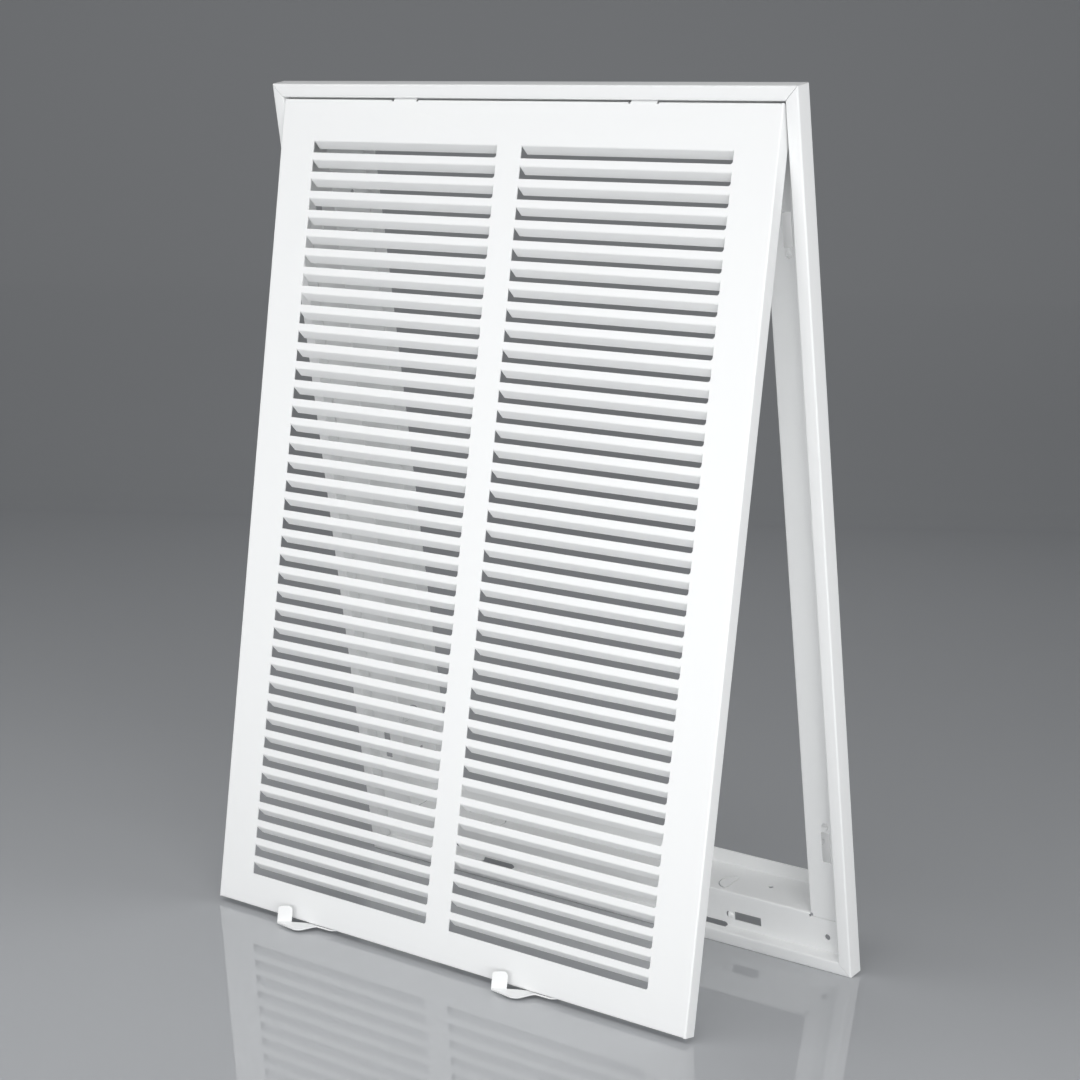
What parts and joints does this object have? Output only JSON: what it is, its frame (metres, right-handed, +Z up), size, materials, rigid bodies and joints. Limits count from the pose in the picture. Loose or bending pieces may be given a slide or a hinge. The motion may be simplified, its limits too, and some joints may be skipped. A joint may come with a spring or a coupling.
{
  "type": "return air filter grille",
  "caption": "Louvred sheet metal return air grille whose door hinges at the top of a collared filter frame and locks with latch levers.",
  "frame": {"origin": "on the floor under the middle of the open grille's footprint", "axes": "+Z up, +X across the width, the louvred door on the -Y side and the collared frame leaning back on the +Y side"},
  "size_m": [0.4224, 0.2212, 0.5658],
  "materials": {
    "frame_enamel": "satin white baked enamel",
    "door_enamel": "satin white baked enamel",
    "lever_enamel": "satin white baked enamel",
    "rivet_enamel": "satin white baked enamel"
  },
  "bodies": {
    "frame": {"frame_bottom": "frame_enamel", "frame_top": "frame_enamel", "frame_left": "frame_enamel", "frame_right": "frame_enamel"},
    "door": {"door_panel": "door_enamel", "latch_rivet_left": "rivet_enamel", "latch_rivet_right": "rivet_enamel"},
    "left_latch": {"latch_lever_left": "lever_enamel"},
    "right_latch": {"latch_lever_right": "lever_enamel"}
  },
  "joints": [
    {"name": "door_hinge", "type": "hinge", "parent": "frame", "child": "door", "pos_m": [0, -0.03508, 0.55331], "axis": [-1, 0, 0], "range_deg": [-17.59, 72.41]},
    {"name": "left_latch_pivot", "type": "hinge", "parent": "door", "child": "left_latch", "pos_m": [-0.0955, -0.09345, 0.00309], "axis": [0, 0.1113, 0.9938], "range_deg": [0, 50]},
    {"name": "right_latch_pivot", "type": "hinge", "parent": "door", "child": "right_latch", "pos_m": [0.0955, -0.09345, 0.00309], "axis": [0, 0.1113, 0.9938], "range_deg": [0, 50]}
  ]
}
